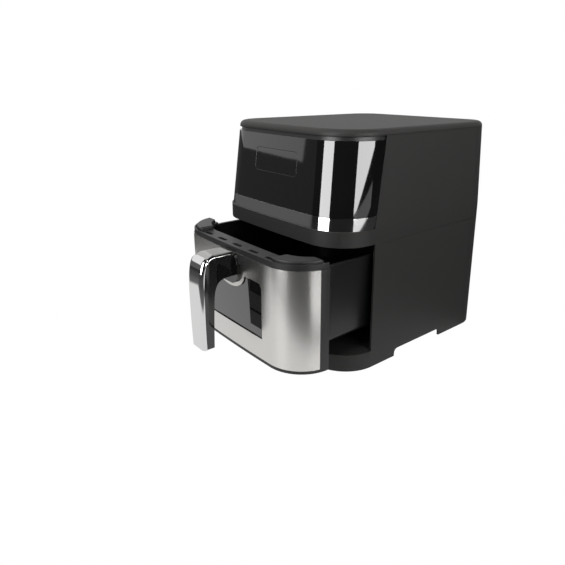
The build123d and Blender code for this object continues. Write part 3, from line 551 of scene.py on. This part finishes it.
def choose(
    tree: bpy.types.NodeTree, test: bpy.types.NodeSocket, otherwise: bpy.types.Node, when: bpy.types.Node
) -> bpy.types.Node:
    """Choose between two shaders by the kind of ray.

    Args:
        tree: the node tree.
        test: the ray test, which is 0 or 1.
        otherwise: the shader used at 0.
        when: the shader used at 1.
    Returns:
        The mixing node.
    """
    mix = tree.nodes.new("ShaderNodeMixShader")
    tree.links.new(test, mix.inputs["Fac"])
    tree.links.new(otherwise.outputs[0], mix.inputs[1])
    tree.links.new(when.outputs[0], mix.inputs[2])
    return mix


@dataclass
class Floor:
    """Pale floor: white to the camera, and two pools of light to reflections.

    Args:
        radius: of the whole floor, in metres.
        drop: how far it lies below the feet, in metres.
        pool_at: middle of the wide pool.
        pool: distance from its middle, in metres, and brightness there.
        patch_at: middle of the small patch beside the drawer.
        patch_edge: where the patch starts to fade and where it ends, in metres.
        patch_tone: brightness of the patch.
        bounce: brightness of the floor to matte surfaces.
    """

    radius: float = 40.0
    drop: float = 0.5 * MM
    pool_at: Pair = (-0.13, -0.10)
    pool: tuple[Pair, ...] = ((0.375, 0.75), (0.42, 0.13), (0.6, 0.07), (1.2, 0.03), (3.0, 0.014))
    patch_at: Pair = (0.47, -0.10)
    patch_edge: Pair = (0.11, 0.17)
    patch_tone: float = 0.85
    bounce: float = 0.16

    def distance_from(self, tree: bpy.types.NodeTree, middle: Pair) -> bpy.types.NodeSocket:
        """Give a floor point's distance from a place on the floor.

        Args:
            tree: the node tree.
            middle: x and y of the place, in metres.
        Returns:
            The output that holds the distance.
        """
        place = tree.nodes.new("ShaderNodeTexCoord")
        centre = tree.nodes.new("ShaderNodeMapping")
        centre.inputs["Location"].default_value = (-middle[0], -middle[1], 0.0)
        reach = tree.nodes.new("ShaderNodeVectorMath")
        reach.operation = "LENGTH"
        tree.links.new(place.outputs["Object"], centre.inputs["Vector"])
        tree.links.new(centre.outputs["Vector"], reach.inputs[0])
        return reach.outputs["Value"]

    def make_pool(self, tree: bpy.types.NodeTree) -> bpy.types.NodeSocket:
        """Make the wide pool, which fades outwards in steps.

        Args:
            tree: the node tree.
        Returns:
            The output that holds its brightness.
        """
        outermost = self.pool[-1][0]
        scale = tree.nodes.new("ShaderNodeMath")
        scale.operation = "DIVIDE"
        scale.inputs[1].default_value = outermost
        fade = tree.nodes.new("ShaderNodeValToRGB")
        ramp = fade.color_ramp
        ramp.interpolation = "EASE"
        ramp.elements[0].position = self.pool[0][0] / outermost
        ramp.elements[1].position = 1.0
        for reach, _ in self.pool[1:-1]:
            ramp.elements.new(reach / outermost)
        for stop, (_, tone) in zip(ramp.elements, self.pool):
            stop.color = (tone, tone, tone, 1.0)
        tree.links.new(self.distance_from(tree, self.pool_at), scale.inputs[0])
        tree.links.new(scale.outputs["Value"], fade.inputs["Fac"])
        return fade.outputs["Color"]

    def make_patch(self, tree: bpy.types.NodeTree) -> bpy.types.NodeSocket:
        """Make the small patch beside the drawer.

        Args:
            tree: the node tree.
        Returns:
            The output that holds its brightness.
        """
        patch = tree.nodes.new("ShaderNodeMapRange")
        patch.interpolation_type = "SMOOTHSTEP"
        patch.inputs["From Min"].default_value = self.patch_edge[0]
        patch.inputs["From Max"].default_value = self.patch_edge[1]
        patch.inputs["To Min"].default_value = self.patch_tone
        patch.inputs["To Max"].default_value = 0.0
        tree.links.new(self.distance_from(tree, self.patch_at), patch.inputs["Value"])
        return patch.outputs["Result"]

    def build(self) -> None:
        """Build the floor."""
        bm = bmesh.new()
        bmesh.ops.create_circle(bm, cap_ends=True, segments=96, radius=self.radius)
        piece = finish_piece(bm, "floor")
        piece.location.z = -self.drop
        material = bpy.data.materials.new("pale_floor")
        tree = light_only_tree(material)
        brighter = tree.nodes.new("ShaderNodeMath")
        brighter.operation = "MAXIMUM"
        tree.links.new(self.make_pool(tree), brighter.inputs[0])
        tree.links.new(self.make_patch(tree), brighter.inputs[1])
        near = tree.nodes.new("ShaderNodeEmission")
        tree.links.new(brighter.outputs["Value"], near.inputs["Strength"])
        soft = tree.nodes.new("ShaderNodeEmission")
        soft.inputs["Strength"].default_value = self.bounce
        plain = tree.nodes.new("ShaderNodeEmission")
        path = tree.nodes.new("ShaderNodeLightPath")
        unseen = choose(tree, path.outputs["Is Diffuse Ray"], near, soft)
        whole = choose(tree, path.outputs["Is Camera Ray"], unseen, plain)
        tree.links.new(whole.outputs["Shader"], tree.nodes["Material Output"].inputs["Surface"])
        piece.data.materials.append(material)


@dataclass
class Surroundings:
    """White world for the camera, with a bright rear for reflections and a soft fill.

    Args:
        rear: direction of the bright part.
        rear_edge: cosines from it at which the brightness starts to rise and is full.
        rear_glow: brightness away from it and in it.
        fill: brightness to matte surfaces.
    """

    rear: Direction = (-0.34, 0.94, 0.0)
    rear_edge: Pair = (0.45, 0.85)
    rear_glow: Pair = (0.02, 0.75)
    fill: float = 0.24

    def background(self, tree: bpy.types.NodeTree, strength: float = 1.0) -> bpy.types.Node:
        """Add a white background of one brightness.

        Args:
            tree: the node tree.
            strength: its brightness.
        Returns:
            The node.
        """
        node = tree.nodes.new("ShaderNodeBackground")
        node.inputs["Color"].default_value = (1.0, 1.0, 1.0, 1.0)
        node.inputs["Strength"].default_value = strength
        return node

    def build(self) -> None:
        """Build the world."""
        world = bpy.data.worlds.new("studio")
        world.use_nodes = True
        tree = world.node_tree
        tree.nodes.clear()
        look = tree.nodes.new("ShaderNodeTexCoord")
        toward_rear = tree.nodes.new("ShaderNodeVectorMath")
        toward_rear.operation = "DOT_PRODUCT"
        toward_rear.inputs[1].default_value = self.rear
        glow = tree.nodes.new("ShaderNodeMapRange")
        glow.interpolation_type = "SMOOTHSTEP"
        glow.inputs["From Min"].default_value = self.rear_edge[0]
        glow.inputs["From Max"].default_value = self.rear_edge[1]
        glow.inputs["To Min"].default_value = self.rear_glow[0]
        glow.inputs["To Max"].default_value = self.rear_glow[1]
        tree.links.new(look.outputs["Generated"], toward_rear.inputs[0])
        tree.links.new(toward_rear.outputs["Value"], glow.inputs["Value"])
        shine = self.background(tree)
        tree.links.new(glow.outputs["Result"], shine.inputs["Strength"])
        path = tree.nodes.new("ShaderNodeLightPath")
        unseen = choose(tree, path.outputs["Is Glossy Ray"], self.background(tree, self.fill), shine)
        whole = choose(tree, path.outputs["Is Camera Ray"], unseen, self.background(tree))
        out = tree.nodes.new("ShaderNodeOutputWorld")
        tree.links.new(whole.outputs["Shader"], out.inputs["Surface"])
        bpy.context.scene.world = world


@dataclass
class Studio:
    """Camera, lights and reflector cards.

    Args:
        camera_at: the camera's place, in metres.
        camera_aim: the point that it looks at.
        roll: its turn about its own axis, in degrees.
        lens: focal length in millimetres.
        sensor: width of its frame in millimetres.
        shift: sideways and upward shift of the frame, as parts of its width.
        lights_aim: the point that the softboxes stand around.
        cards_aim: the point that the cards stand around.
        watts: power of a light for each square metre and unit of radiance.
    """

    camera_at: Vector = field(default_factory=lambda: Vector((0.57969, -0.52738, 0.38108)))
    camera_aim: Vector = field(default_factory=lambda: Vector((0.04908, -0.08520, 0.17906)))
    roll: float = 0.15
    lens: float = 33.46
    sensor: float = 36.0
    shift: Pair = (-0.0357, -0.0814)
    lights_aim: Vector = field(default_factory=lambda: Vector((0.0, -0.1, 0.2)))
    cards_aim: Vector = field(default_factory=lambda: Vector((0.06, -0.08, 0.21)))
    watts: float = 4.0

    def make_camera(self) -> None:
        """Add the camera."""
        data = bpy.data.cameras.new("camera")
        data.lens = self.lens
        data.sensor_width = self.sensor
        data.shift_x, data.shift_y = self.shift
        data.clip_start = 10.0 * MM
        camera = bpy.data.objects.new("camera", data)
        bpy.context.scene.collection.objects.link(camera)
        turn = (self.camera_aim - self.camera_at).to_track_quat("-Z", "Y")
        camera.matrix_world = (
            Matrix.Translation(self.camera_at) @ turn.to_matrix().to_4x4()
            @ Matrix.Rotation(math.radians(self.roll), 4, "Z")
        )
        bpy.context.scene.camera = camera

    def make_softbox(
        self, name: str, *, azimuth: float, distance: float, height: float, size: Pair, radiance: float,
        shine: bool = True, fill: bool = True, tilt: bool = False
    ) -> None:
        """Add one rectangular light that faces the object.

        Args:
            name: the light's name.
            azimuth: degrees from the front towards the right-hand side.
            distance: metres from the object.
            height: of the light's middle, in metres.
            size: width and height in metres.
            radiance: brightness of its face.
            shine: whether reflections show it.
            fill: whether it lights matte surfaces.
            tilt: whether it leans down towards the object.
        """
        data = bpy.data.lights.new(name, "AREA")
        data.shape = "RECTANGLE"
        data.size, data.size_y = size
        data.energy = radiance * self.watts * size[0] * size[1]
        light = bpy.data.objects.new(name, data)
        bpy.context.scene.collection.objects.link(light)
        turn = math.radians(azimuth)
        middle = self.lights_aim
        light.location = (
            middle.x + distance * math.sin(turn), middle.y - distance * math.cos(turn), height
        )
        aim = Vector((middle.x, middle.y, middle.z if tilt else height)) - light.location
        light.rotation_euler = aim.to_track_quat("-Z", "Y").to_euler()
        light.visible_camera = False
        light.visible_glossy = shine
        light.visible_diffuse = fill

    def make_card(self, name: str, *corners: Pair, distance: float, radiance: float) -> None:
        """Add one reflector card that only reflections show.

        Args:
            name: the card's name.
            corners: azimuth and elevation of each corner from the object, in degrees.
            distance: metres from the object.
            radiance: brightness of its face.
        """
        bm = bmesh.new()
        for azimuth, elevation in corners:
            turn, rise = math.radians(azimuth), math.radians(elevation)
            toward = Vector((math.sin(turn), -math.cos(turn), math.tan(rise)))
            bm.verts.new(self.cards_aim + distance * toward)
        bmesh.ops.contextual_create(bm, geom=bm.verts[:])
        piece = finish_piece(bm, name)
        material = bpy.data.materials.new(name)
        tree = light_only_tree(material)
        glow = tree.nodes.new("ShaderNodeEmission")
        glow.inputs["Strength"].default_value = radiance
        tree.links.new(glow.outputs["Emission"], tree.nodes["Material Output"].inputs["Surface"])
        piece.data.materials.append(material)
        piece.visible_camera = False
        piece.visible_diffuse = False
        piece.visible_shadow = False

    def build(self) -> None:
        """Set up the whole studio."""
        bpy.context.scene.view_settings.view_transform = "Standard"
        self.make_camera()
        Floor().build()
        Surroundings().build()
        self.make_softbox(
            "front_softbox", azimuth=0.0, distance=1.6, height=0.87, size=(0.83, 1.7), radiance=6.6,
            fill=False
        )
        self.make_card(
            "side_card", (74, -2.8), (81, -2.8), (118, 2.5), (118, 30), (74, 30), distance=1.7, radiance=7.4
        )
        self.make_card(
            "side_sweep", (76, -12), (120, -12), (120, -2.9), (76, -2.9), distance=1.8, radiance=0.8
        )
        self.make_card(
            "left_sweep", (-105, -8), (-42, -8), (-42, 12), (-105, 12), distance=1.8, radiance=0.10
        )
        self.make_softbox(
            "top_softbox", azimuth=-20.0, distance=0.25, height=1.5, size=(1.3, 1.3), radiance=4.0,
            shine=False, tilt=True
        )
        self.make_card(
            "left_card", (-112, 4), (-46, 4), (-46, 55), (-112, 55), distance=1.2, radiance=0.85
        )
        self.make_softbox(
            "side_fill", azimuth=95.0, distance=1.5, height=1.1, size=(1.0, 1.0), radiance=1.0,
            shine=False, tilt=True
        )
        LOG.info("studio ready")


# ------------------------------------------------------------------ sub-assemblies
@dataclass
class Handle:
    """Bent handle: black body, crowned chrome face plate and chrome arm cover.

    Sizes are in millimetres. Side drawings are pairs: distance behind the drawer's front, and height.

    Args:
        datum: where the drawer's front stands.
        fitter: attaches the pieces.
        half: half width of the grip at the top.
        foot_half: half width at the foot.
        foot_at: height of the foot.
        full_at: height above which the grip has its full width.
        plate: thickness of the plates.
        columns: faces across each piece.
        steps: points in each span of the plates' drawings.
        body_steps: points in each span of the body's drawings.
        shoulder: width of the rounded side of a crown.
        depth: how deep the face plate's sides lie behind its crown.
        arm_depth: how deep the arm cover's sides lie.
        arm_inset: how much narrower the arm cover is on each side.
        top_corner: rounding of the face plate's top corners.
        body_inset: how much narrower the body is on each side.
        gap: space between the body and the plates.
        crowned_below: height below which the body's front is crowned under the plate.
        rim_behind: where the body's rounded back rims start.
        body_rim: rounding of those rims.
        plate_middle: side drawing of the face plate's crown.
        arm_middle: side drawing of the arm cover's crown.
        body_front: side drawing of the body's front.
        body_back: side drawing of the body's back.
    """

    datum: Datum
    fitter: Fitter
    half: float = 18.0
    foot_half: float = 16.6
    foot_at: float = 38.0
    full_at: float = 120.0
    plate: float = 1.3
    columns: int = 44
    steps: int = 8
    body_steps: int = 4
    shoulder: float = 6.2
    depth: float = 5.2
    arm_depth: float = 3.2
    arm_inset: float = 0.6
    top_corner: float = 9.0
    body_inset: float = 0.9
    gap: float = 0.4
    crowned_below: float = 150.0
    rim_behind: float = -42.0
    body_rim: float = 2.0
    plate_middle: tuple[Pair, ...] = (
        (-42.6, 167.6), (-46.4, 164.0), (-50.3, 157.6), (-52.6, 149.5), (-54.0, 140.0), (-54.9, 126.0),
        (-55.2, 100.0), (-55.0, 66.0), (-54.4, 38.6),
    )
    arm_middle: tuple[Pair, ...] = (
        (-4.0, 167.9), (-14.0, 168.0), (-26.0, 168.0), (-36.0, 167.6), (-42.0, 164.6), (-45.4, 159.6),
    )
    body_front: tuple[Pair, ...] = (
        (-4.0, 163.4), (-20.0, 163.6), (-34.0, 163.2), (-40.6, 159.4), (-45.0, 152.0), (-47.4, 140.0),
        (-48.6, 126.0), (-49.0, 100.0), (-48.8, 66.0), (-48.3, 39.2),
    )
    body_back: tuple[Pair, ...] = (
        (-37.6, 39.2), (-37.0, 60.0), (-36.0, 88.0), (-34.6, 112.0), (-32.2, 123.0), (-27.4, 130.6),
        (-20.0, 134.0), (-12.0, 134.8), (-4.0, 135.0),
    )

    RIM_ANGLE: ClassVar[float] = 50.0

    def half_at(self, height: float) -> float:
        """Half width of the grip at a height, both in millimetres."""
        risen = min(max((height - self.foot_at) / (self.full_at - self.foot_at), 0.0), 1.0)
        return self.foot_half + (self.half - self.foot_half) * risen

    def sunk(self, inside: float) -> float:
        """How far a point has sunk at its distance inside the outline, from 0 to 1."""
        outward = 1.0 - min(max(inside / self.shoulder, 0.0), 1.0)
        return 1.0 - math.sqrt(1.0 - outward**2)

    def crowned(
        self, middle: list[Vector], depth: float, inset: float = 0.0, corner: float = 0.0
    ) -> bmesh.types.BMesh:
        """Make a strip that is flat along its middle and rounds down at its sides and first end.

        Args:
            middle: the line along the crown.
            depth: how deep its edges lie, in millimetres.
            inset: how much narrower than the grip it is on each side, in millimetres.
            corner: rounding of the corners at the first end, in millimetres; 0 leaves that end square.
        Returns:
            The strip as a bmesh.
        """
        lengths = [0.0]
        for before, after in zip(middle, middle[1:]):
            lengths.append(lengths[-1] + (after - before).length)
        inward = []
        for index in range(len(middle)):
            along = middle[min(index + 1, len(middle) - 1)] - middle[max(index - 1, 0)]
            inward.append(Vector((-along.y, along.x)).normalized())

        def place(side: float, row: int) -> Vector:
            """Give the position of a grid point.

            Args:
                side: fraction across the strip.
                row: which point of the line it belongs to.
            Returns:
                Its position, in metres.
            """
            half = self.half_at(middle[row].y) - inset
            short = max(corner - lengths[row], 0.0)
            width = half - corner + math.sqrt(corner**2 - short**2) if corner > 0.0 else half
            x = width * math.sin(math.pi * (side - 0.5))
            inside = half - abs(x)
            if corner > 0.0:
                away = max(corner - inside, 0.0)
                round_off = corner - math.hypot(away, short)
                inside = min(inside, lengths[row], round_off) if short > 0.0 else inside
            point = middle[row] + inward[row] * depth * self.sunk(inside)
            return self.datum.drawer(x, point.x, point.y)

        return shaped_grid(self.columns, len(middle) - 1, place)

    def thicken(self, bm: bmesh.types.BMesh, rim: float) -> None:
        """Give an open strip its wall, behind its face, and round its rim.

        Args:
            bm: the strip.
            rim: rim radius in millimetres.
        """
        bmesh.ops.recalc_face_normals(bm, faces=bm.faces)
        forward = sum((f.normal for f in bm.faces), Vector())
        if forward.y > 0.0:
            bmesh.ops.reverse_faces(bm, faces=bm.faces)
        bmesh.ops.solidify(bm, geom=bm.faces[:], thickness=self.plate * MM)
        bmesh.ops.recalc_face_normals(bm, faces=bm.faces)
        round_edges(bm, sharp_edges(bm, self.RIM_ANGLE), rim * MM, segments=3)

    def make_plate(self) -> None:
        """Build the crowned chrome face plate."""
        line = smooth_path(self.plate_middle, self.steps)
        bm = self.crowned(line, self.depth, corner=self.top_corner)
        self.thicken(bm, rim=0.4)
        piece = finish_piece(bm, "handle_face_plate", smooth_angle=60.0)
        self.fitter.fit(piece, "drawer", "chrome", "handle_face")

    def make_arm_cover(self) -> None:
        """Build the chrome cover along the top of the arm."""
        line = smooth_path(self.arm_middle, self.steps)
        bm = self.crowned(line, self.arm_depth, inset=self.arm_inset)
        self.thicken(bm, rim=0.3)
        piece = finish_piece(bm, "handle_arm_plate", smooth_angle=60.0)
        self.fitter.fit(piece, "drawer", "smoked_chrome", "handle_arm_cover")

    def make_body(self) -> None:
        """Build the black body behind the plates."""
        front = smooth_path(self.body_front, self.body_steps)
        loop = [*front, *smooth_path(self.body_back, self.body_steps)]
        crown_line = smooth_path(self.plate_middle, self.steps)
        cover = self.plate + self.gap

        def place(side: float, row: int) -> Vector:
            """Give the position of a grid point, with the front crowned under the plate.

            Args:
                side: fraction across the body.
                row: which point of the loop it belongs to.
            Returns:
                Its position, in metres.
            """
            point = loop[row % len(loop)].copy()
            half = self.half_at(point.y)
            x = (half - self.body_inset) * math.sin(math.pi * (side - 0.5))
            if row < len(front) and point.y < self.crowned_below:
                nearest = min(crown_line, key=lambda other: abs(other.y - point.y))
                crown = max(point.x - nearest.x - cover, 0.0)
                point.x -= crown * (1.0 - self.sunk(half - cover - abs(x)))
            return self.datum.drawer(x, point.x, point.y)

        bm = shaped_grid(self.columns, len(loop), place)
        bmesh.ops.remove_doubles(bm, verts=bm.verts, dist=0.1 * WELD)
        bmesh.ops.holes_fill(bm, edges=[e for e in bm.edges if e.is_boundary], sides=0)
        bmesh.ops.recalc_face_normals(bm, faces=bm.faces)
        behind = self.datum.drawer(0.0, self.rim_behind, 0.0).y
        rims = [e for e in sharp_edges(bm, self.RIM_ANGLE) if min(v.co.y for v in e.verts) > behind]
        round_edges(bm, rims, self.body_rim * MM, segments=5)
        piece = finish_piece(bm, "handle_grip_body", smooth_angle=50.0)
        self.fitter.fit(piece, "drawer", "gloss_black", "handle_body")

    def build(self) -> None:
        """Build the whole handle."""
        self.make_plate()
        self.make_arm_cover()
        self.make_body()


@dataclass
class LowerShell:
    """Lower housing, plinth and foot skirts, which are one moulding.

    Args:
        fitter: attaches the piece.
        parts: the CAD nodes that are joined.
        edge: edge radius in millimetres.
    """

    fitter: Fitter
    parts: tuple[str, ...] = ("lower_housing", "base_plinth", "foot_skirts")
    edge: float = 0.5

    def build(self) -> None:
        """Join the three nodes into one piece and round its edges."""
        shells = []
        for part in self.parts:
            mesh = bpy.data.meshes.new(part + "_solid")
            bm = merged_copy(part)
            bm.to_mesh(mesh)
            bm.free()
            shells.append(bpy.data.objects.new(part + "_solid", mesh))
            bpy.context.scene.collection.objects.link(shells[-1])
        for other in shells[1:]:
            join = shells[0].modifiers.new(other.name, "BOOLEAN")
            join.operation = "UNION"
            join.solver = "EXACT"
            join.object = other
        joined = shells[0].evaluated_get(bpy.context.evaluated_depsgraph_get()).to_mesh()
        bm = bmesh.new()
        bm.from_mesh(joined)
        for shell in shells:
            bpy.data.objects.remove(shell)
        join_triangles(bm, 2.0 * WELD)
        round_edges(bm, sharp_edges(bm), self.edge * MM)
        self.fitter.fit(finish_piece(bm, "lower_shell"), "housing", "matte_black", *self.parts)


SOFT_NODES: tuple[Soft, ...] = (
    Soft("base_cover", 0.3), Soft("rubber_feet", 0.2), Soft("base_screws", 0.2),
    Soft("bay_liner", 0.25), Soft("bay_rails", 0.3), Soft("upper_housing", 0.6),
    Soft("top_cover", 0.4), Soft("chrome_band", 0.3), Soft("front_panel", 0.3),
    Soft("display_window", 0.2), Soft("panel_carrier", 0.3), Soft("rear_grille", 0.25),
    Soft("rear_spacers", 0.3), Soft("cord_gland", 0.4), Soft("drawer_front", 0.4),
    Soft("steel_skin", 0.35), Soft("window_glass", 0.2), Soft("drawer_inner_panel", 0.3),
    Soft("drawer_bezel", 0.35, largest=16), Soft("corner_pads", 0.4), Soft("pan", 0.3),
    Soft("pan_window", 0.3), Soft("window_seal", 0.3), Soft("pan_brackets", 0.4),
    Soft("handle_root_pad", 0.2), Soft("crisper_tray", 0.2), Soft("tray_bumpers", 0.4),
    Soft("handle_screws", 0.2),
)


def main() -> None:
    """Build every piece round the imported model."""
    logging.basicConfig(level=logging.INFO, format="%(name)s: %(message)s")
    for spare in ("Cube", "Light", "Camera"):
        if spare in bpy.data.objects:
            bpy.data.objects.remove(bpy.data.objects[spare])
    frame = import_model()
    paint = Paint(FINISHES)
    fitter = Fitter(frame, paint)
    Studio().build()
    datum = Datum.from_frame()
    Handle(datum, fitter).build()
    LowerShell(fitter).build()
    replaced = {"handle_face", "handle_arm_cover", "handle_body", *LowerShell.parts}
    for soft in SOFT_NODES:
        fitter.soften(soft)
        replaced.add(soft.node)
    for node in frame["nodes"]:
        if node not in replaced:
            fitter.carry(node)


if __name__ == "__main__":
    main()
